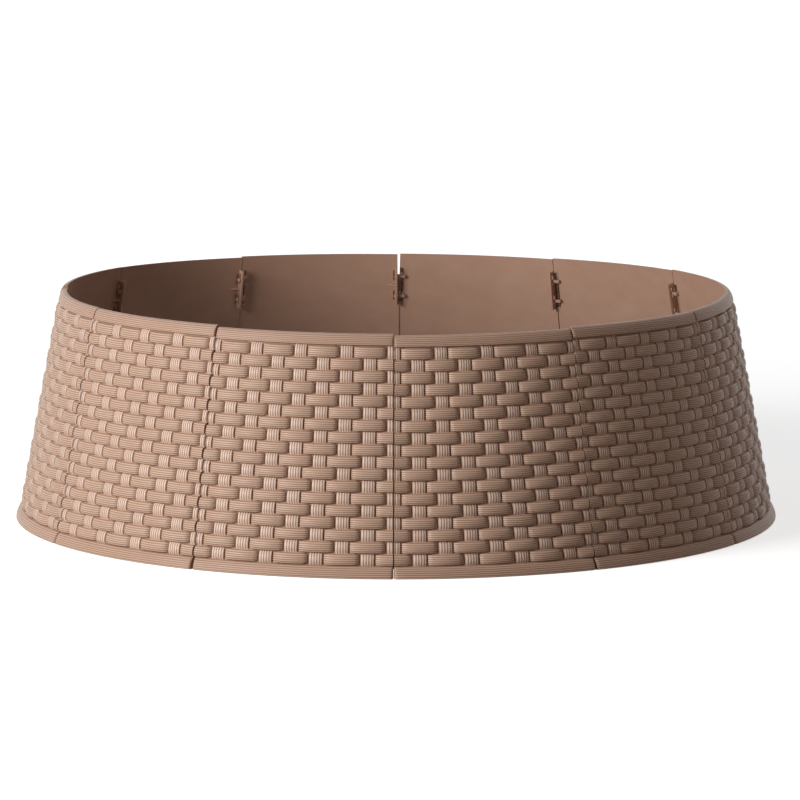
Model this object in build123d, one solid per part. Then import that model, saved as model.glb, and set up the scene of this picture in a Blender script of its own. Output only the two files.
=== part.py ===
from build123d import *

import os
from math import cos, degrees, radians, sin

# Christmas tree collar: a tapering ring of clipped panels, each one moulded to look like woven wicker.
# Lengths are in millimetres. The ring stands on the floor plane with its axis on Z.
# Every wall, row and rim shrinks towards one apex above the ring, so the panels close into a cone.
# Offsets from the inner face are stated at floor level and shrink with height like the ring itself.

# Ring: the flare is how much further out the inner face stands at the floor than at the top
panel_count = 12
ring_height = 224.0
floor_inner_radius = 370.0
flare = 42.4
front_seam_angle = -90.0

# Panel wall and its two rims
wall_thickness = 2.3
foot_rim_height = 11.2
foot_rim_projection = 8.5
foot_rim_bevel = 3.0
head_rim_height = 11.2
head_rim_projection = 5.5
head_rim_bevel = 3.4

# Weave: stakes stand up from the wall, and wefts run round the ring and bulge over every other stake
stakes_per_panel = 8
row_count = 18
stake_relief = 1.5
weft_relief = 4.9
weft_crown_share = 0.62

# Seams: the end faces of neighbouring panels spread apart towards the outside
seam_gap_inner = 0.6
seam_gap_outer = 1.5

# Seam cover: a thin strip on the leading end laps behind the trailing end of the next panel and hides the gap
cover_thickness = 0.6
cover_play = 0.5
cover_overlap = 1.2
cover_root_length = 1.8
cover_root_depth = 0.5
cover_foot_gap = 8.0
cover_clip_gap = 1.5

# Clips: a windowed rail stands on the leading end of each panel, hooks stand on the trailing end
clip_height = 41.0
clip_inset = 34.0
rail_thickness = 2.4
rail_depth = 10.0
rail_setback = 0.5
window_pitch = 21.7
window_height = 10.5
window_depth = 4.6
gusset_length = 8.0
gusset_depth = 6.5
gusset_thickness = 1.4
hook_height = 3.2
hook_thickness = 2.1
hook_drop = 1.6
hook_reach = 6.4
hook_root_length = 3.0
barb_length = 1.9
barb_depth = 1.4
barb_lead = 0.8
clip_play = 0.4
relief_height = 37.0
relief_depth = 1.6
root_overrun = 1.2
cut_overrun = 5.0

# Worked out from the sizes above
panel_angle = 360.0 / panel_count
stake_angle = panel_angle / stakes_per_panel
apex_height = ring_height * floor_inner_radius / flare
weave_floor = foot_rim_height
weave_top = ring_height - head_rim_height
row_height = (weave_top - weave_floor) / row_count
foot_reach = wall_thickness + foot_rim_projection
head_reach = wall_thickness + head_rim_projection
stake_reach = wall_thickness + stake_relief
crown_reach = wall_thickness + weft_relief
hinge_side = rail_setback + rail_thickness / 2
hinge_inset = window_depth
apex = Vector(0, 0, apex_height)


def taper(height):
    """Share of the floor level size that is left at this height."""
    return 1 - height / apex_height


def cone_radius(reach, height):
    """Radius, at this height, of the cone that lies this far outside the inner face."""
    return (floor_inner_radius + reach) * taper(height)


def cone_point(reach, angle, height):
    """Point on the cone that lies this far outside the inner face."""
    radius = cone_radius(reach, height)
    return Vector(radius * cos(radians(angle)), radius * sin(radians(angle)), height)


def closed_solid(*outlines):
    """Solid inside flat faces, each given by its corners."""
    faces = [Face(Wire.make_polygon(corners, close=True)) for corners in outlines]
    return Solid(Shell(faces))


def rimmed_wall():
    """Wall of one panel with its foot and head rims, in flat steps of one stake, a little long at both ends."""
    section = [
        (0, 0),
        (foot_reach - foot_rim_bevel / 2, 0),
        (foot_reach, foot_rim_bevel),
        (foot_reach, foot_rim_height - foot_rim_bevel / 2),
        (foot_reach - foot_rim_bevel / 2, weave_floor),
        (stake_reach, weave_floor),
        (stake_reach, weave_top),
        (head_reach, weave_top),
        (head_reach, ring_height - head_rim_bevel),
        (head_reach - head_rim_bevel / 2, ring_height),
        (0, ring_height),
    ]
    angles = [(index - 0.5) * stake_angle for index in range(stakes_per_panel + 2)]
    rings = [[cone_point(reach, angle, height) for reach, height in section] for angle in angles]
    steps = [
        (ring[i - 1], ring[i], following[i], following[i - 1])
        for ring, following in zip(rings, rings[1:])
        for i in range(len(section))
    ]
    return closed_solid(rings[0], rings[-1], *steps)


def weft(stake, row):
    """One weft where it bulges over a stake: a pillow with a level crown and four sloping sides."""
    left, right = (stake - 0.5) * stake_angle, (stake + 0.5) * stake_angle
    low, high = weave_floor + row * row_height, weave_floor + (row + 1) * row_height
    crown_height = (low + high) / 2
    crown_half = stake_angle * weft_crown_share / 2
    low_left, low_right = cone_point(stake_reach, left, low), cone_point(stake_reach, right, low)
    high_left, high_right = cone_point(stake_reach, left, high), cone_point(stake_reach, right, high)
    crown_left = cone_point(crown_reach, stake * stake_angle - crown_half, crown_height)
    crown_right = cone_point(crown_reach, stake * stake_angle + crown_half, crown_height)
    return closed_solid(
        (low_left, low_right, high_right, high_left),
        (low_left, low_right, crown_right, crown_left),
        (high_left, high_right, crown_right, crown_left),
        (low_left, high_left, crown_left),
        (low_right, high_right, crown_right),
    )


def wefts():
    """All wefts of a panel, over odd stakes in one row and over even stakes in the next."""
    return [
        weft(stake, row)
        for row in range(row_count)
        for stake in range(stakes_per_panel + 1)
        if (row + stake) % 2 == 0
    ]


def seam_plane(seam_angle, side):
    """End face of a panel beside a seam, its normal towards the panel: side is 1 after it, -1 before it."""
    foot_radius = floor_inner_radius + foot_reach
    inner_turn = side * seam_gap_inner / 2 / floor_inner_radius
    outer_turn = side * seam_gap_outer / 2 / foot_radius
    inner = cone_point(0, seam_angle, 0).rotate(Axis.Z, degrees(inner_turn))
    outer = cone_point(foot_reach, seam_angle, 0).rotate(Axis.Z, degrees(outer_turn))
    normal = (outer - inner).cross(apex - inner) * -side
    return Plane(origin=inner, x_dir=outer - inner, z_dir=normal)


def tapered_bar(seam_angle, outline, low, high):
    """Bar along a seam that shrinks towards the apex, its outline in lengths round the ring and outwards."""
    places = [(reach, seam_angle + degrees(along / floor_inner_radius)) for along, reach in outline]
    bottom, top = ([cone_point(reach, angle, height) for reach, angle in places] for height in (low, high))
    sides = [(bottom[i - 1], bottom[i], top[i], top[i - 1]) for i in range(len(places))]
    return closed_solid(bottom, top, *sides)


def seam_cover(seam_angle):
    """Thin strip on the leading end that reaches past the seam, from the foot up to the upper clip."""
    back, front = -cover_play, -cover_play - cover_thickness
    free_edge, end_face = -cover_overlap, seam_gap_inner / 2
    outline = [
        (free_edge, front),
        (cover_root_length, front),
        (cover_root_length, cover_root_depth),
        (end_face, cover_root_depth),
        (end_face, back),
        (free_edge, back),
    ]
    top = ring_height - clip_inset - clip_height / 2 - cover_clip_gap
    return tapered_bar(seam_angle, outline, cover_foot_gap, top)


def clip_frame(seam_angle, height):
    """Hinge frame at a seam: X outwards from the ring, Y round the ring, Z up along the hinge line."""
    turn = seam_angle + degrees(hinge_side / floor_inner_radius)
    origin = cone_point(-hinge_inset, turn, height)
    hinge_line = apex - origin
    tangent = Vector(0, 1, 0).rotate(Axis.Z, turn)
    return Plane(origin=origin, x_dir=tangent.cross(hinge_line), z_dir=hinge_line)


def upright_prism(frame, corners, height, middle):
    """Prism with this outline in the frame's XY plane, its height centred on middle along the hinge line."""
    outline = frame.offset(middle - height / 2) * make_face(Polyline(*corners, close=True))
    return extrude(outline, height, dir=frame.z_dir)


def rail(seam_angle, height):
    """Windowed rail that carries the neighbour's hooks, with a gusset rib behind it at mid height."""
    frame = clip_frame(seam_angle, height)
    wall = hinge_inset * taper(height)
    root, edge = wall + root_overrun, wall - rail_depth
    half = rail_thickness / 2
    past = half + cut_overrun
    plate = upright_prism(frame, [(edge, -half), (root, -half), (root, half), (edge, half)], clip_height, 0)
    opening = [(0, -past), (wall, -past), (wall, past), (0, past)]
    windows = [upright_prism(frame, opening, window_height, side * window_pitch / 2) for side in (-1, 1)]
    rib = [(wall - gusset_depth, half), (root, half), (root, half + gusset_length), (wall, half + gusset_length)]
    return plate - windows + upright_prism(frame, rib, gusset_thickness, 0)


def hook(seam_angle, height, side):
    """Snap hook that crosses the seam, passes through one window and catches behind the rail."""
    frame = clip_frame(seam_angle, height)
    root = hinge_inset * taper(height) + root_overrun
    low, high = clip_play, clip_play + hook_thickness
    catch = -barb_depth
    back = rail_thickness / 2 + clip_play
    tip = back + barb_length
    near = -hinge_side - hook_reach
    far = near - hook_root_length
    corners = [
        (root, far),
        (low, far),
        (low, back),
        (catch, back),
        (catch, tip - barb_lead),
        (low, tip),
        (high, tip),
        (high, near),
        (root, near),
    ]
    return upright_prism(frame, corners, hook_height, side * window_pitch / 2 - hook_drop)


def relief(seam_angle, height):
    """Pocket in the inner face beside the seam, which gives the hooks room to bend."""
    frame = clip_frame(seam_angle, height)
    wall = hinge_inset * taper(height)
    inner, floor = wall - cut_overrun, wall + relief_depth
    near = -hinge_side - hook_reach
    corners = [(inner, near), (floor, near), (floor, cut_overrun), (inner, cut_overrun)]
    return upright_prism(frame, corners, relief_height, 0)


def moulded_panel():
    """One panel from its leading seam at angle zero to its trailing seam, with its clips moulded on."""
    clip_levels = (clip_inset, ring_height - clip_inset)
    skin = rimmed_wall().fuse(*wefts()).clean()
    skin = split(skin, seam_plane(0, 1))
    skin = split(skin, seam_plane(panel_angle, -1))
    skin -= [relief(panel_angle, height) for height in clip_levels]
    rails = [rail(0, height) for height in clip_levels]
    hooks = [hook(panel_angle, height, side) for height in clip_levels for side in (-1, 1)]
    return skin + rails + hooks + seam_cover(0)


def main():
    os.makedirs("parts", exist_ok=True)
    panel = moulded_panel()
    for index in range(panel_count):
        placed = Rot(0, 0, front_seam_angle + index * panel_angle) * panel
        export_step(placed, f"parts/panel_{index + 1:02d}.step")


main()
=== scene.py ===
"""Christmas tree collar: a tapering ring of clipped plastic panels, moulded to look like woven wicker."""

import logging
import math
from collections.abc import Callable
from dataclasses import dataclass
from enum import Enum

import bmesh
import bpy
from bmesh.types import BMFace, BMVert, BMesh
from bpy.types import ID, Material, Mesh, Node, NodeSocket, NodeTree, Object, World
from mathutils import Matrix, Vector

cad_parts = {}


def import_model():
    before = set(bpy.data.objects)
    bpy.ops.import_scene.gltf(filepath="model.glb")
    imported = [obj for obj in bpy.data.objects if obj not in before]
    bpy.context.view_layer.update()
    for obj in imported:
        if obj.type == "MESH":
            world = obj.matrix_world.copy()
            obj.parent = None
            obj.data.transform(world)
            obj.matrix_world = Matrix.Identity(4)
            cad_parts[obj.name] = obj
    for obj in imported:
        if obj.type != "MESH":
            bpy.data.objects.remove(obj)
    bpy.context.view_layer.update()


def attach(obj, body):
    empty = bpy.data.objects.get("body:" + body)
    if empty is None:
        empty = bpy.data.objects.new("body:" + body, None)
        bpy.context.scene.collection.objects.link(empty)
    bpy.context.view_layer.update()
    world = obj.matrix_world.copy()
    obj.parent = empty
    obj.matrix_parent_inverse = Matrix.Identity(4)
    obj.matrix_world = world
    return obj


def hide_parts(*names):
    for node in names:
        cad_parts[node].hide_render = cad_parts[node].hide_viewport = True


LOG = logging.getLogger("tree_collar")
MM = 0.001
CUT_DISTANCE = 1e-7
ON_PLANE_DISTANCE = 1e-6
Pair = tuple[float, float]
Stops = tuple[Pair, ...]


def linear(hex_colour: str) -> tuple[float, float, float, float]:
    """Turns an sRGB hex colour into a linear one.

    Args:
        hex_colour: Colour as #rrggbb.

    Returns:
        Red, green, blue and an alpha of one.
    """
    parts = [int(hex_colour[i : i + 2], 16) / 255 for i in (1, 3, 5)]
    red, green, blue = (p / 12.92 if p <= 0.04045 else ((p + 0.055) / 1.055) ** 2.4 for p in parts)
    return red, green, blue, 1.0


def add_node(
    tree: NodeTree,
    kind: str,
    settings: dict[str | int, object],
    links: dict[str | int, NodeSocket],
) -> Node:
    """Adds one node to a tree.

    Args:
        tree: Node tree that gets the node.
        kind: Type of shader node, such as Bump.
        settings: Values by property name, or by input name or number where there is no such property.
        links: Output sockets by the input name or number that they feed.

    Returns:
        The new node.
    """
    node = tree.nodes.new(f"ShaderNode{kind}")
    for key, value in settings.items():
        if isinstance(key, str) and hasattr(node, key):
            setattr(node, key, value)
        else:
            node.inputs[key].default_value = value
    for key, socket in links.items():
        tree.links.new(socket, node.inputs[key])
    return node


def empty_tree(owner: Material | World) -> NodeTree:
    """Gives a material or a world an empty node tree."""
    owner.use_nodes = True
    owner.node_tree.nodes.clear()
    return owner.node_tree


def add_object(name: str, data: ID) -> Object:
    """Adds an object to the scene that shows this mesh, light or camera."""
    made = bpy.data.objects.new(name, data)
    bpy.context.scene.collection.objects.link(made)
    return made


def as_mesh(name: str, bm: BMesh) -> Mesh:
    """Turns a mesh under construction into a finished one, and frees it."""
    mesh = bpy.data.meshes.new(name)
    bm.to_mesh(mesh)
    bm.free()
    return mesh


def towards(azimuth: float, elevation: float) -> Vector:
    """Turns two angles in degrees into the way from the ring to a lamp or the camera."""
    turn, tilt = math.radians(azimuth), math.radians(elevation)
    return Vector((math.cos(turn) * math.cos(tilt), math.sin(turn) * math.cos(tilt), math.sin(tilt)))


def aim(thing: Object, way: Vector) -> None:
    """Points a lamp or the camera this way."""
    thing.rotation_mode = "QUATERNION"
    thing.rotation_quaternion = way.to_track_quat("-Z", "Y")


class Strand(Enum):
    """The two kinds of strand in the weave."""

    WEFT = "weft"
    STAKE = "stake"


class End(Enum):
    """The two ends of a panel, with the sign that points into the panel along the ring."""

    LEADING = 1
    TRAILING = -1


@dataclass(frozen=True)
class MouldedPolypropylene:
    """Injection-moulded polypropylene, coloured through and left as moulded.

    It is satin, neither glossy nor chalky: the spark-eroded mould leaves a fine tooth that blurs
    reflections, and the melt leaves faint flow marks a few centimetres long. The real tooth is too fine for
    the picture, so it is drawn about ten times as coarse. Lengths are in millimetres. Grooves and strand
    roots can take painted shade.
    """

    name: str
    light_hex: str = "#b5907b"
    dark_hex: str = "#ae8974"
    # Painted shade in the grooves between ridges.
    groove_shade_hex: str = "#96735d"
    # Painted shade at the root of a strand; empty for none.
    root_shade_hex: str = ""
    ridge_pitch: float = 0.0
    ridge_depth: float = 0.0
    groove_edge: float = 0.4
    root_shade_share: float = 0.3
    flow_mark_size: float = 28.0
    flow_stretch: float = 1.6
    flow_detail: float = 4.0
    flow_roughness: float = 0.55
    flow_range: Pair = (0.3, 0.7)
    tooth_size: float = 0.9
    tooth_depth: float = 0.035
    tooth_detail: float = 2.0
    roughness: float = 0.42
    smoother: float = 0.04
    rougher: float = 0.05
    index_of_refraction: float = 1.49
    specular_level: float = 0.3

    def material(self) -> Material:
        """Builds the material."""
        made = bpy.data.materials.new(self.name)
        tree = empty_tree(made)
        place = add_node(tree, "TexCoord", {}, {}).outputs["Object"]
        stretched = add_node(tree, "Mapping", {"Scale": (1.0, 1.0, self.flow_stretch)}, {"Vector": place})
        marks = add_node(
            tree,
            "TexNoise",
            {
                "Scale": 1 / (self.flow_mark_size * MM),
                "Detail": self.flow_detail,
                "Roughness": self.flow_roughness,
            },
            {"Vector": stretched.outputs["Vector"]},
        ).outputs["Fac"]
        flow = add_node(
            tree,
            "MapRange",
            {"From Min": self.flow_range[0], "From Max": self.flow_range[1]},
            {"Value": marks},
        )
        colour = add_node(
            tree,
            "Mix",
            {"data_type": "RGBA", 6: linear(self.dark_hex), 7: linear(self.light_hex)},
            {0: flow.outputs["Result"]},
        ).outputs[2]
        tooth = add_node(
            tree,
            "TexNoise",
            {"Scale": 1 / (self.tooth_size * MM), "Detail": self.tooth_detail},
            {"Vector": place},
        )
        bump = add_node(tree, "Bump", {"Distance": self.tooth_depth * MM}, {"Height": tooth.outputs["Fac"]})
        normal = bump.outputs["Normal"]
        # Painted shade: grooves between ridges and the roots of strands are mixed towards darker colours.
        painted_shades = []
        if self.ridge_pitch:
            ridge = self.ridges(tree)
            painted_shades.append((self.groove_shade_hex, ridge))
            links = {"Height": ridge, "Normal": normal}
            normal = add_node(tree, "Bump", {"Distance": self.ridge_depth * MM}, links).outputs["Normal"]
        if self.root_shade_hex:
            painted_shades.append((self.root_shade_hex, self.rise(tree)))
        for shade_hex, share in painted_shades:
            settings = {"data_type": "RGBA", 6: linear(shade_hex)}
            colour = add_node(tree, "Mix", settings, {0: share, 7: colour}).outputs[2]
        rough = add_node(
            tree,
            "MapRange",
            {"To Min": self.roughness - self.smoother, "To Max": self.roughness + self.rougher},
            {"Value": marks},
        )
        shader = add_node(
            tree,
            "BsdfPrincipled",
            {"IOR": self.index_of_refraction, "Specular IOR Level": self.specular_level},
            {"Base Color": colour, "Roughness": rough.outputs["Result"], "Normal": normal},
        )
        add_node(tree, "OutputMaterial", {}, {"Surface": shader.outputs["BSDF"]})
        return made

    def across(self, tree: NodeTree, uv_map: str) -> NodeSocket:
        """Reads the second number of a map: the way across a strand, or how far the point stands out."""
        place = add_node(tree, "UVMap", {"uv_map": uv_map}, {})
        return add_node(tree, "SeparateXYZ", {}, {"Vector": place.outputs["UV"]}).outputs["Y"]

    def rise(self, tree: NodeTree) -> NodeSocket:
        """Adds painted shade at the root of a strand, fading out towards its face.

        The real gaps between strands are deeper and narrower and hold less light, so the root is painted
        darker.

        Args:
            tree: Node tree of the material.

        Returns:
            Socket that is zero at the root and one from a little above it.
        """
        share = add_node(
            tree,
            "MapRange",
            {"interpolation_type": "SMOOTHSTEP", "From Max": self.root_shade_share},
            {"Value": self.across(tree, "rise")},
        )
        return share.outputs["Result"]

    def ridges(self, tree: NodeTree) -> NodeSocket:
        """Adds the fine ridges that run along a strand, as the mould has them in place of real fibres. The
        bump and the painted groove shade both follow it.

        Args:
            tree: Node tree of the material.

        Returns:
            Socket that is one on a ridge and zero in a groove.
        """
        scale = {"operation": "MULTIPLY", 1: 2 * math.pi / (self.ridge_pitch * MM)}
        turn = add_node(tree, "Math", scale, {0: self.across(tree, "strand")})
        wave = add_node(tree, "Math", {"operation": "COSINE"}, {0: turn.outputs["Value"]})
        share = add_node(
            tree,
            "MapRange",
            {"interpolation_type": "SMOOTHSTEP", "From Min": -1.0, "From Max": self.groove_edge},
            {"Value": wave.outputs["Value"]},
        )
        return share.outputs["Result"]


@dataclass(frozen=True)
class Cone:
    """The taper that every panel follows. Offsets from the inner face are stated at floor level."""

    floor_radius: float = 370.0
    flare: float = 42.4
    height: float = 224.0

    @property
    def apex(self) -> Vector:
        """Point above the ring where all the seams would meet, in metres."""
        return Vector((0, 0, self.apex_height * MM))

    @property
    def apex_height(self) -> float:
        """Height of the apex above the floor, in millimetres."""
        return self.height * self.floor_radius / self.flare

    def taper(self, height: float) -> float:
        """Share of the floor level size that is left at this height."""
        return 1 - height / self.apex_height

    def point(self, reach: float, angle: float, height: float) -> Vector:
        """Places a point on the ring.

        Args:
            reach: Offset outwards from the inner face, in millimetres.
            angle: Angle round the ring, in degrees.
            height: Height above the floor, in millimetres.

        Returns:
            The point in metres.
        """
        radius = (self.floor_radius + reach) * self.taper(height) * MM
        turn = math.radians(angle)
        return Vector((radius * math.cos(turn), radius * math.sin(turn), height * MM))


def cut(bm: BMesh, faces: list[BMFace], point: Vector, normal: Vector) -> None:
    """Adds an edge to these faces where a plane crosses them.

    Args:
        bm: Mesh that holds the faces.
        faces: Faces that may be cut.
        point: Point of the plane.
        normal: Normal of the plane.
    """
    edges = {edge for face in faces for edge in face.edges}
    verts = {vert for face in faces for vert in face.verts}
    whole = [*faces, *edges, *verts]
    bmesh.ops.bisect_plane(bm, geom=whole, dist=CUT_DISTANCE, plane_co=point, plane_no=normal)


def trim(bm: BMesh, point: Vector, outwards: Vector) -> None:
    """Cuts away all that lies beyond a plane and closes what it opens.

    Args:
        bm: Mesh that is trimmed.
        point: Point of the plane.
        outwards: Normal of the plane, towards what is cut away.
    """
    everything = [*bm.verts, *bm.edges, *bm.faces]
    bmesh.ops.bisect_plane(
        bm, geom=everything, dist=CUT_DISTANCE, plane_co=point, plane_no=outwards, clear_outer=True
    )
    rim = [
        edge
        for edge in bm.edges
        if edge.is_boundary
        and all(abs((vert.co - point).dot(outwards)) < ON_PLANE_DISTANCE for vert in edge.verts)
    ]
    bmesh.ops.holes_fill(bm, edges=rim, sides=0)


@dataclass(frozen=True)
class Seams:
    """The drafted end faces where neighbouring panels meet."""

    cone: Cone
    panel_angle: float = 30.0
    gap_inner: float = 0.6
    gap_outer: float = 1.5
    outer_reach: float = 10.8

    def plane(self, end: End, inset: float = 0.0) -> tuple[Vector, Vector]:
        """Finds the plane of an end face.

        Args:
            end: Which end of the panel.
            inset: How far inside the panel the plane lies, in millimetres at floor level.

        Returns:
            A point of the plane and its normal, which points out of the panel.
        """
        side = end.value
        seam = 0.0 if end is End.LEADING else self.panel_angle
        inner_turn = side * math.degrees((self.gap_inner / 2 + inset) / self.cone.floor_radius)
        outer_turn = side * math.degrees(
            (self.gap_outer / 2 + inset) / (self.cone.floor_radius + self.outer_reach)
        )
        inner = self.cone.point(0, seam + inner_turn, 0)
        outer = self.cone.point(self.outer_reach, seam + outer_turn, 0)
        normal = (outer - inner).cross(self.cone.apex - inner).normalized() * side
        return inner, normal


@dataclass(frozen=True)
class Rim:
    """A thick band along an edge of the panel: ridged all over, upright, and rounded off towards its top."""

    base: float
    height: float
    reach: float
    lip: float
    corner: float = 1.5
    ridge_count: int = 6
    ridge_depth: float = 0.36
    squareness: float = 2.5
    samples_per_ridge: int = 4
    top_shares: tuple[float, ...] = (0.97, 0.985, 0.995, 1.0)

    def outline(self) -> list[Pair]:
        """Gives the outer face of the rim, from its foot to its top.

        Returns:
            Points as reach and height, in millimetres.
        """
        ridged = self.ridge_count * self.samples_per_ridge
        shares = [i / ridged for i in range(ridged)] + list(self.top_shares)
        return [(self.reach_at(share), self.base + share * self.height) for share in shares]

    @property
    def ridge_pitch(self) -> float:
        """Height of one ridge, in millimetres."""
        return self.height / self.ridge_count

    @property
    def last_crest(self) -> float:
        """Place of the last crest of the upright part, in ridges: the rounded top starts there."""
        return self.ridge_count - 0.5

    def ridge_place(self, reach: float, height: float) -> float:
        """Place across the ridges, for the finish: whole pitches are crests, and they go on over the top.

        Args:
            reach: How far the point stands out, in millimetres.
            height: Its height, in millimetres.

        Returns:
            Way across the ridges, in millimetres.
        """
        above = (height - self.base) / self.ridge_pitch
        if above < self.last_crest:
            return (above - 0.5) * self.ridge_pitch
        past = max(self.reach_at(self.last_crest / self.ridge_count) - reach, 0.0)
        return (self.last_crest - 0.5) * self.ridge_pitch + past

    def reach_at(self, share: float) -> float:
        """Works out how far the rim stands out at a share of its height."""
        full = (1 - share**self.squareness) ** (1 / self.squareness)
        reach = self.lip + (self.reach - self.lip) * full
        above = share * self.ridge_count
        if above < self.last_crest:
            reach -= self.ridge_depth * (1 + math.cos(2 * math.pi * above)) / 2
        near = share * self.height
        if near < self.corner:
            reach -= self.corner - math.sqrt(self.corner**2 - (self.corner - near) ** 2)
        return reach


@dataclass(frozen=True)
class Pocket:
    """A shallow recess in the inner face of the panel, beside one end. Lengths are in millimetres."""

    end: End
    near: float
    far: float
    height: float
    depth: float


class WallFinish(Enum):
    """The finishes of a wall, in the order of its materials. The third is painted shade: a darker colour
    between the strands and in the recesses by the upper hooks.
    """

    PLAIN = 0
    RIM = 1
    PAINTED_SHADE = 2


@dataclass
class PanelWall:
    """The wall of a panel with its rims, and the pockets in its inner face. Lengths are in millimetres."""

    cone: Cone
    seams: Seams
    woven_reach: float = 3.8
    foot_rim_height: float = 11.2
    head_rim_height: float = 10.3
    foot_reach: float = 10.8
    foot_lip_step: float = 0.9
    head_reach: float = 7.8
    head_lip: float = 1.4
    level_count: int = 9
    step_count: int = 26
    overrun: float = 1.0
    end_rounding: float = 3.0
    end_steps: int = 5
    clip_levels: Pair = (34.0, 190.0)
    window_pitch: float = 21.7
    hook_room: Pocket = Pocket(End.TRAILING, near=-3.0, far=5.6, height=37.0, depth=3.0)
    window_slot: Pocket = Pocket(End.LEADING, near=3.1, far=5.2, height=10.5, depth=1.4)
    cover_low: float = 8.0
    cover_high: float = 168.0
    cover_overlap: float = 1.2
    cover_width: float = 1.8
    cover_play: float = 0.5
    cover_thickness: float = 0.6
    cover_root: float = 0.5
    lug_reach: float = 2.3
    lug_overlap: float = 3.2
    lug_low: float = 165.0
    lug_high: float = 202.0
    recessed_reach: Pair = (1.6, 3.4)
    rim_reach: float = 1.0
    tolerance: float = 0.2
    inner_tolerance: float = 0.05

    def section(self) -> list[Pair]:
        """Gives the closed section of the wall.

        Returns:
            Points as reach and height, in millimetres, up the outside and down the inside.
        """
        low, high = self.foot_rim_height, self.head.base
        levels = [low + (high - low) * i / self.level_count for i in range(self.level_count + 1)]
        outside = [(self.woven_reach, level) for level in levels]
        inside = [(0.0, level) for level in reversed(levels)]
        foot, head = self.foot.outline(), self.head.outline()
        return [(0.0, 0.0), *foot, *outside, *head, (0.0, self.cone.height), *inside]

    @property
    def foot(self) -> Rim:
        """The flared rim that the ring stands on."""
        lip = self.woven_reach + self.foot_lip_step
        return Rim(0.0, self.foot_rim_height, self.foot_reach, lip)

    @property
    def head(self) -> Rim:
        """The rim along the top."""
        base = self.cone.height - self.head_rim_height
        return Rim(base, self.head_rim_height, self.head_reach, self.head_lip)

    def pockets(self) -> list[tuple[Pocket, float]]:
        """Lists the recesses and the heights of their middles: behind the hooks, and behind each window."""
        made = []
        for level in self.clip_levels:
            made.append((self.hook_room, level))
            made += [(self.window_slot, level + side * self.window_pitch / 2) for side in (-1, 1)]
        return made

    def build(self) -> BMesh:
        """Spins the section round the ring, sinks the pockets, trims the ends and rounds the rims' ends."""
        bm = bmesh.new()
        start = -self.overrun
        outline = [bm.verts.new(self.cone.point(reach, start, height)) for reach, height in self.section()]
        edges = [bm.edges.new(pair) for pair in zip(outline, outline[1:] + outline[:1])]
        bmesh.ops.spin(
            bm,
            geom=[*outline, *edges],
            axis=(0, 0, 1),
            angle=math.radians(self.seams.panel_angle + 2 * self.overrun),
            steps=self.step_count,
        )
        bmesh.ops.recalc_face_normals(bm, faces=bm.faces)
        for pocket, middle in self.pockets():
            self.sink(bm, pocket, middle)
        for end in End:
            for step in range(1, self.end_steps + 1):
                inset = self.end_rounding * (1 - math.cos(math.pi / 2 * step / self.end_steps))
                cut(bm, list(bm.faces), *self.seams.plane(end, inset))
            trim(bm, *self.seams.plane(end))
        self.cover_seam(bm)
        bmesh.ops.recalc_face_normals(bm, faces=bm.faces)
        self.round_ends(bm)
        self.mark_finishes(bm)
        return bm

    def cover_seam(self, bm: BMesh) -> None:
        """Adds the strips that keep light out between two panels: one behind the seam, one in the pocket."""
        free_edge, root_edge, end_face = -self.cover_overlap, self.cover_width, self.seams.gap_inner / 2
        back, front, root = -self.cover_play, -self.cover_play - self.cover_thickness, self.cover_root
        behind = [
            (free_edge, front),
            (root_edge, front),
            (root_edge, root),
            (end_face, root),
            (end_face, back),
            (free_edge, back),
        ]
        lug_edge = -self.lug_overlap
        low, high = self.lug_reach - self.cover_thickness / 2, self.lug_reach + self.cover_thickness / 2
        in_pocket = [(lug_edge, low), (root_edge, low), (root_edge, high), (lug_edge, high)]
        self.strip(bm, behind, self.cover_low, self.cover_high)
        self.strip(bm, in_pocket, self.lug_low, self.lug_high)

    def strip(self, bm: BMesh, outline: list[Pair], low: float, high: float) -> None:
        """Adds a strip along the seam that shrinks towards the apex.

        Args:
            bm: Mesh that gets the strip.
            outline: Corners as way round the ring and reach, in millimetres.
            low: Height of its foot, in millimetres.
            high: Height of its top, in millimetres.
        """
        corners = [
            bm.verts.new(self.cone.point(reach, math.degrees(along / self.cone.floor_radius), low))
            for along, reach in outline
        ]
        foot = bm.faces.new(corners)
        swept = bmesh.ops.extrude_face_region(bm, geom=[foot], use_keep_orig=True)["geom"]
        shrink = self.cone.taper(high) / self.cone.taper(low)
        for item in swept:
            if isinstance(item, BMVert):
                item.co = self.cone.apex + (item.co - self.cone.apex) * shrink

    def mark_finishes(self, bm: BMesh) -> None:
        """Tells each face its finish, and writes the place across the rims' ridges into their map."""
        layer = bm.loops.layers.uv.new("strand")
        inmost, outmost = self.recessed_reach
        for face in bm.faces:
            middle = face.calc_center_median()
            height, reach = middle.z / MM, self.reach(middle)
            rim = self.foot if height < self.cone.height / 2 else self.head
            ridged = rim.base < height < rim.base + rim.height + self.tolerance and reach > self.rim_reach
            # Painted shade: the wall face between the strands, the lug strip and the floor of the upper hook
            # pocket take the dark finish.
            woven = self.foot.height < height < self.head.base and reach > self.woven_reach - self.tolerance
            recessed = self.lug_low < height < self.lug_high and inmost < reach < outmost
            outside = WallFinish.RIM if ridged else WallFinish.PLAIN
            face.material_index = (WallFinish.PAINTED_SHADE if woven or recessed else outside).value
            for loop in face.loops:
                across = 0.0
                if ridged:
                    across = rim.ridge_place(self.reach(loop.vert.co), loop.vert.co.z / MM)
                    across *= self.head.ridge_pitch / rim.ridge_pitch * MM
                loop[layer].uv = (0.0, across)

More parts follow.
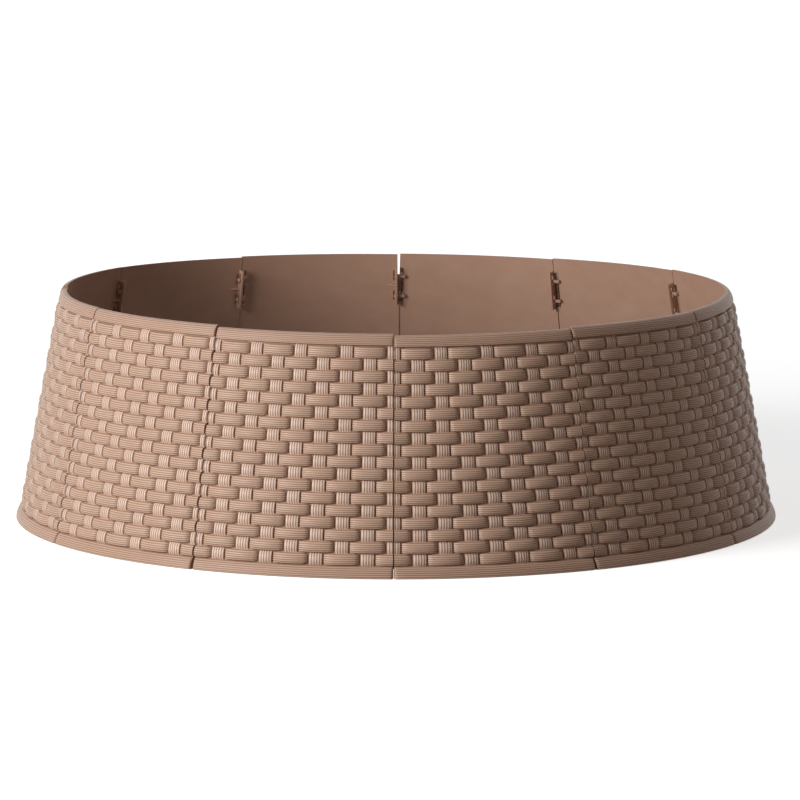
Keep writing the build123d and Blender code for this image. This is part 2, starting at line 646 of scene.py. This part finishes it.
    def sink(self, bm: BMesh, pocket: Pocket, middle: float) -> None:
        """Sinks a pocket into the inner face.

        Args:
            bm: Mesh of the wall, still longer than the panel.
            pocket: Size of the recess, and its place along the ring.
            middle: Height of its middle, in millimetres.
        """
        low, high = middle - pocket.height / 2, middle + pocket.height / 2
        near = self.seams.plane(pocket.end, pocket.near)
        far = self.seams.plane(pocket.end, pocket.far)
        level = Vector((0, 0, 1))
        for point, normal in (near, far, (level * low * MM, level), (level * high * MM, level)):
            cut(bm, [face for face in bm.faces if self.inner(face)], point, normal)
        inside = [
            face
            for face in bm.faces
            if self.inner(face)
            and low * MM < face.calc_center_median().z < high * MM
            and (face.calc_center_median() - near[0]).dot(near[1]) < 0
            and (face.calc_center_median() - far[0]).dot(far[1]) > 0
        ]
        grown = bmesh.ops.extrude_face_region(bm, geom=inside)["geom"]
        floor = [item for item in grown if isinstance(item, BMFace)]
        for vert in {vert for face in floor for vert in face.verts}:
            outwards = Vector((vert.co.x, vert.co.y, 0)).normalized()
            vert.co += outwards * pocket.depth * MM
        bmesh.ops.delete(bm, geom=inside, context="FACES")

    def inner(self, face: BMFace) -> bool:
        """Says whether a face lies on the plain inner face of the wall."""
        return all(abs(self.reach(vert.co)) < self.inner_tolerance for vert in face.verts)

    def reach(self, place: Vector) -> float:
        """Offset of a point from the inner face, in millimetres at floor level."""
        height = place.z / MM
        return math.hypot(place.x, place.y) / MM / self.cone.taper(height) - self.cone.floor_radius

    def round_ends(self, bm: BMesh) -> None:
        """Rounds the rims where they end at the seams."""
        for end in End:
            point, normal = self.seams.plane(end)
            for vert in bm.verts:
                reach = self.reach(vert.co)
                inset = (point - vert.co).dot(normal) / MM
                if reach < self.woven_reach + self.tolerance or inset > self.end_rounding:
                    continue
                left = self.end_rounding - max(inset, 0.0)
                drop = self.end_rounding - math.sqrt(self.end_rounding**2 - left**2)
                share = (reach - self.woven_reach) / (self.foot_reach - self.woven_reach)
                wanted = reach - drop * min(share, 1.0)
                shrink = (self.cone.floor_radius + wanted) / (self.cone.floor_radius + reach)
                vert.co.x *= shrink
                vert.co.y *= shrink


@dataclass(frozen=True)
class StrandShape:
    """One visible stretch of a strand: an arched pillow that is sunk into the wall all round.

    The stops give its height from middle to edge, each as a share of the way and a share of the crown.
    """

    half_length: float
    half_width: float
    crown: float
    along_stops: Stops
    across_stops: Stops
    corner_radius: float
    sink: float = 0.8

    def template(self) -> Mesh:
        """Builds the pillow flat, in millimetres: its length on X, its width on Y, its height on Z."""
        bm = bmesh.new()
        along_count, across_count = len(self.along_stops) - 1, len(self.across_stops) - 1
        bmesh.ops.create_grid(bm, x_segments=2 * along_count, y_segments=2 * across_count, size=1.0)
        rim = {vert for vert in bm.verts if vert.is_boundary}
        for vert in bm.verts:
            along_share, along_height = self.along_stops[round(abs(vert.co.x) * along_count)]
            across_share, across_height = self.across_stops[round(abs(vert.co.y) * across_count)]
            x = math.copysign(along_share * self.half_length, vert.co.x)
            half_width = self.half_width_at(abs(x))
            y = math.copysign(across_share * half_width, vert.co.y)
            vert.co = Vector((x, y, self.crown * along_height * across_height))
        for vert in rim:
            vert.co.z = -self.sink
        maps = bm.loops.layers.uv
        strand, rise = maps.new("strand"), maps.new("rise")
        for face in bm.faces:
            for loop in face.loops:
                x, y, z = loop.vert.co
                loop[strand].uv = (x * MM, y * MM)
                # The rise map drives the painted root shade.
                loop[rise].uv = (0.0, max(z, 0.0) / self.crown)
        boundary = [edge for edge in bm.edges if edge.is_boundary]
        bmesh.ops.holes_fill(bm, edges=boundary, sides=0)
        bmesh.ops.recalc_face_normals(bm, faces=bm.faces)
        return as_mesh("pillow", bm)

    def half_width_at(self, away: float) -> float:
        """Works out half the width where the corners are rounded, this far from the middle."""
        into = max(away - self.half_length + self.corner_radius, 0.0)
        return self.half_width - self.corner_radius + math.sqrt(self.corner_radius**2 - into**2)


@dataclass
class WovenFace:
    """The weave of a panel: wefts run round the ring over every other stake, and stakes show between."""

    cone: Cone
    seams: Seams
    woven_reach: float = 3.8
    low: float = 11.2
    high: float = 212.8
    stake_count: int = 8
    row_count: int = 18
    weft_crown: float = 5.3
    weft_gap: float = 0.1
    weft_corner_radius: float = 3.2
    weft_along: Stops = ((0, 1), (0.35, 0.94), (0.7, 0.72), (0.94, 0.4), (1, 0))
    weft_across: Stops = ((0, 1), (0.36, 0.96), (0.68, 0.83), (0.92, 0.56), (1, 0))
    ridges_per_weft: int = 6
    stake_crown: float = 3.2
    stake_share: float = 0.56
    stake_overlap_share: float = 0.62
    stake_corner_radius: float = 0.4
    stake_along: Stops = ((0, 1), (0.5, 0.92), (1, 0.7))
    stake_face_share: float = 0.94
    stake_camber: float = 0.24
    ridges_per_stake: int = 5
    stake_ridge_depth_share: float = 0.11

    @property
    def pitch(self) -> float:
        """Distance between stakes at floor level, in millimetres."""
        return math.radians(self.stake_angle) * self.cone.floor_radius

    @property
    def stake_angle(self) -> float:
        """Angle between stakes, in degrees."""
        return self.seams.panel_angle / self.stake_count

    @property
    def row_height(self) -> float:
        """Height of one row, in millimetres."""
        return (self.high - self.low) / self.row_count

    @property
    def stake_width(self) -> float:
        """Width of a stake, in millimetres."""
        return self.pitch * self.stake_share

    @property
    def weft_ridge_pitch(self) -> float:
        """Width of one ridge on a weft, which fills its row, in millimetres."""
        return self.row_height / self.ridges_per_weft

    @property
    def stake_ridge_pitch(self) -> float:
        """Width of one ridge on the face of a stake, in millimetres."""
        return self.stake_width * self.stake_face_share / self.ridges_per_stake

    def shape(self, kind: Strand) -> StrandShape:
        """Gives the pillow of one kind of strand. Both arch up between the strands that they dive under."""
        if kind is Strand.WEFT:
            return StrandShape(
                half_length=self.pitch - self.stake_width / 2 - self.weft_gap,
                half_width=self.row_height / 2,
                crown=self.weft_crown,
                along_stops=self.weft_along,
                across_stops=self.weft_across,
                corner_radius=self.weft_corner_radius,
            )
        across = []
        for step in range(self.ridges_per_stake + 1):
            way = step / self.ridges_per_stake
            groove = self.stake_ridge_depth_share * (step % 2)
            across.append((self.stake_face_share * way, 1 - self.stake_camber * way**2 - groove))
        return StrandShape(
            half_length=self.row_height * self.stake_overlap_share,
            half_width=self.stake_width / 2,
            crown=self.stake_crown,
            along_stops=self.stake_along,
            across_stops=(*across, (1, 0)),
            corner_radius=self.stake_corner_radius,
        )

    def build(self, kind: Strand) -> BMesh:
        """Stamps every pillow of one kind onto the wall and trims them at the seams.

        Args:
            kind: Wefts or stakes.

        Returns:
            Mesh of all the pillows of a panel.
        """
        template = self.shape(kind).template()
        bm = bmesh.new()
        for row in range(self.row_count):
            for stake in range(self.stake_count + 1):
                over = Strand.WEFT if (row + stake) % 2 == 0 else Strand.STAKE
                if over is kind:
                    self.stamp(bm, template, self.placer(kind, stake, row))
        bpy.data.meshes.remove(template)
        for end in End:
            trim(bm, *self.seams.plane(end))
        return bm

    def placer(self, kind: Strand, stake: int, row: int) -> Callable[[Vector], Vector]:
        """Makes the function that carries a flat pillow to its place on the wall.

        Args:
            kind: Wefts lie along the ring, stakes stand up.
            stake: Number of the stake that the pillow is centred on.
            row: Number of the row, counted from the foot.

        Returns:
            Function from a template point to a place in metres.
        """
        middle = self.low + (row + 0.5) * self.row_height

        def place(flat: Vector) -> Vector:
            """Places one point of the pillow."""
            if kind is Strand.WEFT:
                round_ring, up = flat.x, flat.y
            else:
                round_ring, up = -flat.y, flat.x
            angle = (stake + round_ring / self.pitch) * self.stake_angle
            return self.cone.point(self.woven_reach + flat.z, angle, middle + up)

        return place

    def stamp(self, bm: BMesh, template: Mesh, place: Callable[[Vector], Vector]) -> None:
        """Adds a copy of a template to a mesh.

        Args:
            bm: Mesh that gets the copy.
            template: Flat pillow.
            place: Function from a template point to its place.
        """
        start = len(bm.verts)
        bm.from_mesh(template)
        bm.verts.ensure_lookup_table()
        for vert in bm.verts[start:]:
            vert.co = place(vert.co)


@dataclass
class Clips:
    """The clips at the seams: windowed rails at a panel's leading end, snap hooks at its trailing end."""

    cone: Cone
    panel_angle: float = 30.0
    levels: Pair = (34.0, 190.0)
    height: float = 41.0
    rail_thickness: float = 2.4
    rail_depth: float = 7.6
    hinge_side: float = 1.7
    hinge_inset: float = 4.6
    window_pitch: float = 21.7
    window_height: float = 10.5
    gusset_length: float = 8.0
    gusset_depth: float = 5.6
    gusset_thickness: float = 1.4
    hook_height: float = 3.2
    hook_thickness: float = 2.1
    hook_drop: float = 1.6
    hook_reach: float = 4.6
    hook_root_length: float = 2.2
    barb_length: float = 1.9
    barb_depth: float = 1.4
    barb_lead: float = 0.8
    play: float = 0.4
    root_overrun: float = 1.2
    edge_radius: float = 0.25

    def frame(self, seam_angle: float, height: float) -> Matrix:
        """Finds the hinge frame at a seam.

        Args:
            seam_angle: Angle of the seam, in degrees.
            height: Height of the clip's middle, in millimetres.

        Returns:
            Matrix with X outwards, Y round the ring and Z up the hinge line, in metres.
        """
        turn = seam_angle + math.degrees(self.hinge_side / self.cone.floor_radius)
        origin = self.cone.point(-self.hinge_inset, turn, height)
        up = (self.cone.apex - origin).normalized()
        round_ring = Vector((-math.sin(math.radians(turn)), math.cos(math.radians(turn)), 0))
        outwards = round_ring.cross(up).normalized()
        axes = Matrix((outwards, up.cross(outwards), up)).transposed()
        return Matrix.Translation(origin) @ axes.to_4x4()

    def prism(
        self, bm: BMesh, frame: Matrix, corners: list[tuple[float, float, float]], sweep: Vector
    ) -> None:
        """Adds a prism with softened edges.

        Args:
            bm: Mesh that gets the prism.
            frame: Frame that the corners are given in.
            corners: Outline of the prism, in millimetres.
            sweep: Way from the outline to the far face, in millimetres.
        """
        part = bmesh.new()
        outline = part.faces.new([part.verts.new(Vector(corner) * MM) for corner in corners])
        swept = bmesh.ops.extrude_face_region(part, geom=[outline])["geom"]
        far = [item for item in swept if isinstance(item, BMVert)]
        bmesh.ops.translate(part, verts=far, vec=sweep * MM)
        bmesh.ops.recalc_face_normals(part, faces=part.faces)
        bmesh.ops.bevel(
            part,
            geom=list(part.edges),
            offset=self.edge_radius * MM,
            segments=2,
            profile=0.5,
            affect="EDGES",
            material=-1,
            clamp_overlap=True,
        )
        bmesh.ops.transform(part, matrix=frame, verts=part.verts)
        mesh = as_mesh("clip_prism", part)
        bm.from_mesh(mesh)
        bpy.data.meshes.remove(mesh)

    def rails(self) -> BMesh:
        """Builds the two windowed rails of a panel, each with its gusset rib."""
        bm = bmesh.new()
        for level in self.levels:
            frame = self.frame(0.0, level)
            wall = self.hinge_inset * self.cone.taper(level)
            root, edge = wall + self.root_overrun, wall - self.rail_depth
            half, top = self.rail_thickness / 2, self.height / 2
            outline = [(edge, -top), (root, -top)]
            for side in (-1, 1):
                middle = side * self.window_pitch / 2
                low, high = middle - self.window_height / 2, middle + self.window_height / 2
                outline += [(root, low), (0.0, low), (0.0, high), (root, high)]
            outline += [(root, top), (edge, top)]
            corners = [(out, -half, up) for out, up in outline]
            self.prism(bm, frame, corners, Vector((0, self.rail_thickness, 0)))
            low = -self.gusset_thickness / 2
            rib = [
                (wall - self.gusset_depth, half - self.play, low),
                (root, half - self.play, low),
                (root, half + self.gusset_length, low),
                (wall, half + self.gusset_length, low),
            ]
            self.prism(bm, frame, rib, Vector((0, 0, self.gusset_thickness)))
        return bm

    def hooks(self) -> BMesh:
        """Builds the four snap hooks of a panel."""
        bm = bmesh.new()
        for level in self.levels:
            frame = self.frame(self.panel_angle, level)
            root = self.hinge_inset * self.cone.taper(level) + self.root_overrun
            low, high = self.play, self.play + self.hook_thickness
            back = self.rail_thickness / 2 + self.play
            tip = back + self.barb_length
            near = -self.hinge_side - self.hook_reach
            far = near - self.hook_root_length
            outline = [
                (root, far),
                (low, far),
                (low, back),
                (-self.barb_depth, back),
                (-self.barb_depth, tip - self.barb_lead),
                (low, tip),
                (high, tip),
                (high, near),
                (root, near),
            ]
            for side in (-1, 1):
                bottom = side * self.window_pitch / 2 - self.hook_drop - self.hook_height / 2
                corners = [(out, along, bottom) for out, along in outline]
                self.prism(bm, frame, corners, Vector((0, 0, self.hook_height)))
        return bm


@dataclass(frozen=True)
class Fit:
    """How one panel sits in the ring: no two line up quite, because the hooks are loose in their windows.

    Lengths are in millimetres. The lifts raise the head at each end. The gap opens the trailing seam towards
    the head only, and the slack opens it over its whole height.
    """

    leading_lift: float = 0.0
    trailing_lift: float = 0.0
    trailing_gap: float = 0.0
    trailing_slack: float = 0.0


@dataclass
class Ring:
    """The whole collar: twelve alike panels, each dressed and set in its place."""

    cone: Cone = Cone()
    panel_count: int = 12
    front_seam_angle: float = -90.0
    gap_height: float = 60.0
    give_share: float = 0.125
    sharp_angle: float = 72.0
    # Lift at the leading end, then at the trailing end: from the front seam counter-clockwise.
    fits: tuple[Fit, ...] = (
        Fit(-2.8, -1.6),
        Fit(0.1, -0.3),
        Fit(0.4, 2.6),
        Fit(2.4, 2.2),
        Fit(1.4, 0.2),
        Fit(-0.8, 0.2, trailing_gap=2.6),
        Fit(-0.4, 2.0),
        Fit(0.8, 4.2),
        Fit(4.4, 5.6),
        Fit(2.6, 2.6, trailing_slack=1.3),
        Fit(2.2, 1.6, trailing_slack=0.8),
        Fit(-0.4, -1.3),
    )

    @property
    def panel_angle(self) -> float:
        """Angle that each panel covers, in degrees."""
        return 360 / self.panel_count

    def build(self) -> None:
        """Builds every panel's pieces and hangs them on its body."""
        parts = self.parts()
        for index in range(1, self.panel_count + 1):
            node = f"panel_{index:02d}"
            for part, (shape, finishes) in parts.items():
                piece = self.piece(f"{node}_{part}", shape, finishes, index)
                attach(piece, node)
                if part == "wall":
                    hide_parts(node)
                LOG.info("%s: %d faces", piece.name, len(piece.data.polygons))
        for shape, _finishes in parts.values():
            shape.free()

    def parts(self) -> dict[str, tuple[BMesh, list[Material]]]:
        """Builds the parts of one panel.

        Returns:
            Mesh and materials by the name of the part.
        """
        seams = Seams(self.cone, self.panel_angle)
        wall = PanelWall(self.cone, seams)
        weave = WovenFace(self.cone, seams)
        clips = Clips(self.cone, self.panel_angle)
        plain = MouldedPolypropylene("moulded_polypropylene_plain").material()
        # Painted sheen and shade: the rims are lighter and paler than the plain finish to stand for their
        # sheen, with painted shade in their grooves.
        rims = MouldedPolypropylene(
            "moulded_polypropylene_rims",
            light_hex="#c3a28e",
            dark_hex="#bb9a85",
            groove_shade_hex="#94725d",
            ridge_pitch=wall.head.ridge_pitch,
            ridge_depth=0.15,
        ).material()
        # Painted shade: real gaps hold less light than the model's, which are shallower, so the wall face
        # between the strands, the lug strip and the upper hook pocket floor are painted darker.
        painted_shade_finish = MouldedPolypropylene(
            "moulded_polypropylene_painted_shade", light_hex="#9c7964", dark_hex="#93705b"
        ).material()
        # Painted sheen and shade: the wefts are lighter and paler than the plain finish to stand for their
        # sheen and to offset their groove shade, with painted shade in their grooves and at their roots.
        fine = MouldedPolypropylene(
            "moulded_polypropylene_fine_ridges",
            light_hex="#ccad98",
            dark_hex="#c3a28c",
            groove_shade_hex="#9c7963",
            root_shade_hex="#94715c",
            ridge_pitch=weave.weft_ridge_pitch,
            ridge_depth=0.3,
        ).material()
        # Painted sheen and shade: the stakes are the lightest finish, standing for the sheen on their
        # rounded ridges, with painted shade in their grooves.
        coarse = MouldedPolypropylene(
            "moulded_polypropylene_coarse_ridges",
            light_hex="#dfc5b4",
            dark_hex="#d6baa8",
            groove_shade_hex="#9b7863",
            ridge_pitch=weave.stake_ridge_pitch,
            ridge_depth=0.2,
        ).material()
        return {
            "wall": (wall.build(), [plain, rims, painted_shade_finish]),
            "wefts": (weave.build(Strand.WEFT), [fine]),
            "stakes": (weave.build(Strand.STAKE), [coarse]),
            "rails": (clips.rails(), [plain]),
            "hooks": (clips.hooks(), [plain]),
        }

    def piece(self, name: str, shape: BMesh, finishes: list[Material], index: int) -> Object:
        """Makes one piece of one panel, set in its place.

        Args:
            name: Name of the piece.
            shape: Mesh as built for a panel that starts at angle zero.
            finishes: Its materials, in the order that its faces count them.
            index: Number of the panel, counted from the front seam.

        Returns:
            The piece.
        """
        bm = shape.copy()
        for vert in bm.verts:
            vert.co = self.seat(vert.co, self.fits[index - 1])
        angle = self.front_seam_angle + (index - 1) * self.panel_angle
        turn = Matrix.Rotation(math.radians(angle), 4, "Z")
        bmesh.ops.transform(bm, matrix=turn, verts=bm.verts)
        mesh = as_mesh(name, bm)
        mesh.shade_smooth()
        mesh.set_sharp_from_angle(angle=math.radians(self.sharp_angle))
        for finish in finishes:
            mesh.materials.append(finish)
        return add_object(name, mesh)

    def seat(self, place: Vector, fit: Fit) -> Vector:
        """Moves a point by the panel's own fit, before the panel is turned to its place.

        Args:
            place: Point of a panel that starts at angle zero.
            fit: How the panel sits.

        Returns:
            The moved point.
        """
        angle = math.degrees(math.atan2(place.y, place.x))
        share = angle / self.panel_angle
        lift = fit.leading_lift + (fit.trailing_lift - fit.leading_lift) * share
        rise = max(place.z / (self.cone.height * MM), 0.0)
        made = place.copy()
        made.z += lift * MM * rise
        above = max(place.z / MM - (self.cone.height - self.gap_height), 0.0) / self.gap_height
        near_end = max(0.0, 1 - (1 - share) / self.give_share)
        back = (fit.trailing_gap * above + fit.trailing_slack) * near_end / self.cone.floor_radius
        return Matrix.Rotation(-back, 4, "Z") @ made


def shown_directly(tree: NodeTree) -> NodeSocket:
    """Adds nodes that tell what is seen from what only lights the object.

    Args:
        tree: Node tree of the floor or the world.

    Returns:
        Socket that is one for camera, glossy and transmission rays.
    """
    path = add_node(tree, "LightPath", {}, {}).outputs
    shown = path["Is Camera Ray"]
    for kind in ("Is Transmission Ray", "Is Glossy Ray"):
        either = add_node(tree, "Math", {"operation": "MAXIMUM"}, {0: shown, 1: path[kind]})
        shown = either.outputs["Value"]
    return shown


@dataclass(frozen=True)
class StudioFloor:
    """Plain white floor that runs out to the horizon and keeps the object's shadow."""

    half_size: float = 14.0
    seen_hex: str = "#f4f4f4"
    bounce_hex: str = "#6c6c6c"
    near_glow: float = 0.68
    far_glow: float = 1.0
    near_radius: float = 0.6
    far_radius: float = 2.2

    def build(self) -> None:
        """Builds the floor. What the camera sees of it is lifted to white; the light it gives is not."""
        bm = bmesh.new()
        bmesh.ops.create_grid(bm, x_segments=1, y_segments=1, size=self.half_size)
        floor = add_object("floor", as_mesh("floor", bm))
        paint = bpy.data.materials.new("matt_white_floor")
        tree = empty_tree(paint)
        place = add_node(tree, "TexCoord", {}, {})
        away = add_node(tree, "VectorMath", {"operation": "LENGTH"}, {0: place.outputs["Object"]})
        level = add_node(
            tree,
            "MapRange",
            {
                "From Min": self.near_radius,
                "From Max": self.far_radius,
                "To Min": self.near_glow,
                "To Max": self.far_glow,
            },
            {"Value": away.outputs["Value"]},
        )
        grey = add_node(tree, "BsdfDiffuse", {"Color": linear(self.bounce_hex)}, {})
        white = add_node(tree, "BsdfDiffuse", {"Color": linear(self.seen_hex)}, {})
        glow = add_node(tree, "Emission", {}, {"Strength": level.outputs["Result"]})
        lifted = add_node(tree, "AddShader", {}, {0: white.outputs["BSDF"], 1: glow.outputs["Emission"]})
        links = {0: shown_directly(tree), 1: grey.outputs["BSDF"], 2: lifted.outputs["Shader"]}
        seen = add_node(tree, "MixShader", {}, links)
        add_node(tree, "OutputMaterial", {}, {"Surface": seen.outputs["Shader"]})
        floor.data.materials.append(paint)


@dataclass(frozen=True)
class Lamp:
    """A square lamp that points at the middle of the ring. Angles are in degrees, lengths in metres.

    The level is the brightness that a white surface square to the lamp takes at the ring.
    """

    name: str
    azimuth: float
    elevation: float
    distance: float
    size: float
    level: float
    tint: str = "#ffffff"

    def build(self) -> None:
        """Adds the lamp to the scene."""
        place = towards(self.azimuth, self.elevation) * self.distance
        light = bpy.data.lights.new(self.name, "AREA")
        light.size = self.size
        light.energy = self.level * (math.pi * place.length) ** 2
        light.color = linear(self.tint)[:3]
        lamp = add_object(self.name, light)
        lamp.location = place
        aim(lamp, -place)


@dataclass(frozen=True)
class StudioLight:
    """Soft key light from the front left, weak warm fill from the right, overhead lamp and room light."""

    lamps: tuple[Lamp, ...] = (
        Lamp("key_lamp", azimuth=-140.0, elevation=19.0, distance=2.6, size=1.2, level=0.96),
        Lamp("fill_lamp", azimuth=-30.0, elevation=12.0, distance=3.0, size=1.6, level=0.08, tint="#ffdcc6"),
        Lamp("top_lamp", azimuth=0.0, elevation=90.0, distance=2.0, size=1.6, level=0.08),
    )
    room_level: float = 0.07

    def build(self) -> None:
        """Builds the lamps and the room light."""
        for lamp in self.lamps:
            lamp.build()
        self.room()

    def room(self) -> None:
        """Builds the world: white where it is seen, dim where it only lights the object."""
        world = bpy.data.worlds.new("white_studio")
        bpy.context.scene.world = world
        tree = empty_tree(world)
        level = add_node(tree, "MapRange", {"To Min": self.room_level}, {"Value": shown_directly(tree)})
        white = {"Color": (1.0, 1.0, 1.0, 1.0)}
        sky = add_node(tree, "Background", white, {"Strength": level.outputs["Result"]})
        add_node(tree, "OutputWorld", {}, {"Surface": sky.outputs["Background"]})


@dataclass(frozen=True)
class StudioCamera:
    """Long lens, a little above the ring and slightly off the front seam."""

    distance: float = 4.698
    height: float = 0.788
    azimuth: float = -89.66
    pitch: float = 8.17
    lens: float = 213.2
    shift: float = 0.005
    sensor_width: float = 36.0

    def build(self) -> None:
        """Builds the camera and makes it the scene's own."""
        data = bpy.data.cameras.new("camera")
        data.lens = self.lens
        data.sensor_width = self.sensor_width
        data.shift_x = self.shift
        camera = add_object("camera", data)
        camera.location = towards(self.azimuth, 0) * self.distance
        camera.location.z = self.height
        aim(camera, -towards(self.azimuth, self.pitch))
        bpy.context.scene.camera = camera


def main() -> None:
    """Builds the collar and its studio."""
    logging.basicConfig(level=logging.INFO, format="%(message)s")
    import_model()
    StudioCamera().build()
    Ring().build()
    StudioFloor().build()
    StudioLight().build()
    bpy.context.scene.view_settings.view_transform = "Standard"


if __name__ == "__main__":
    main()
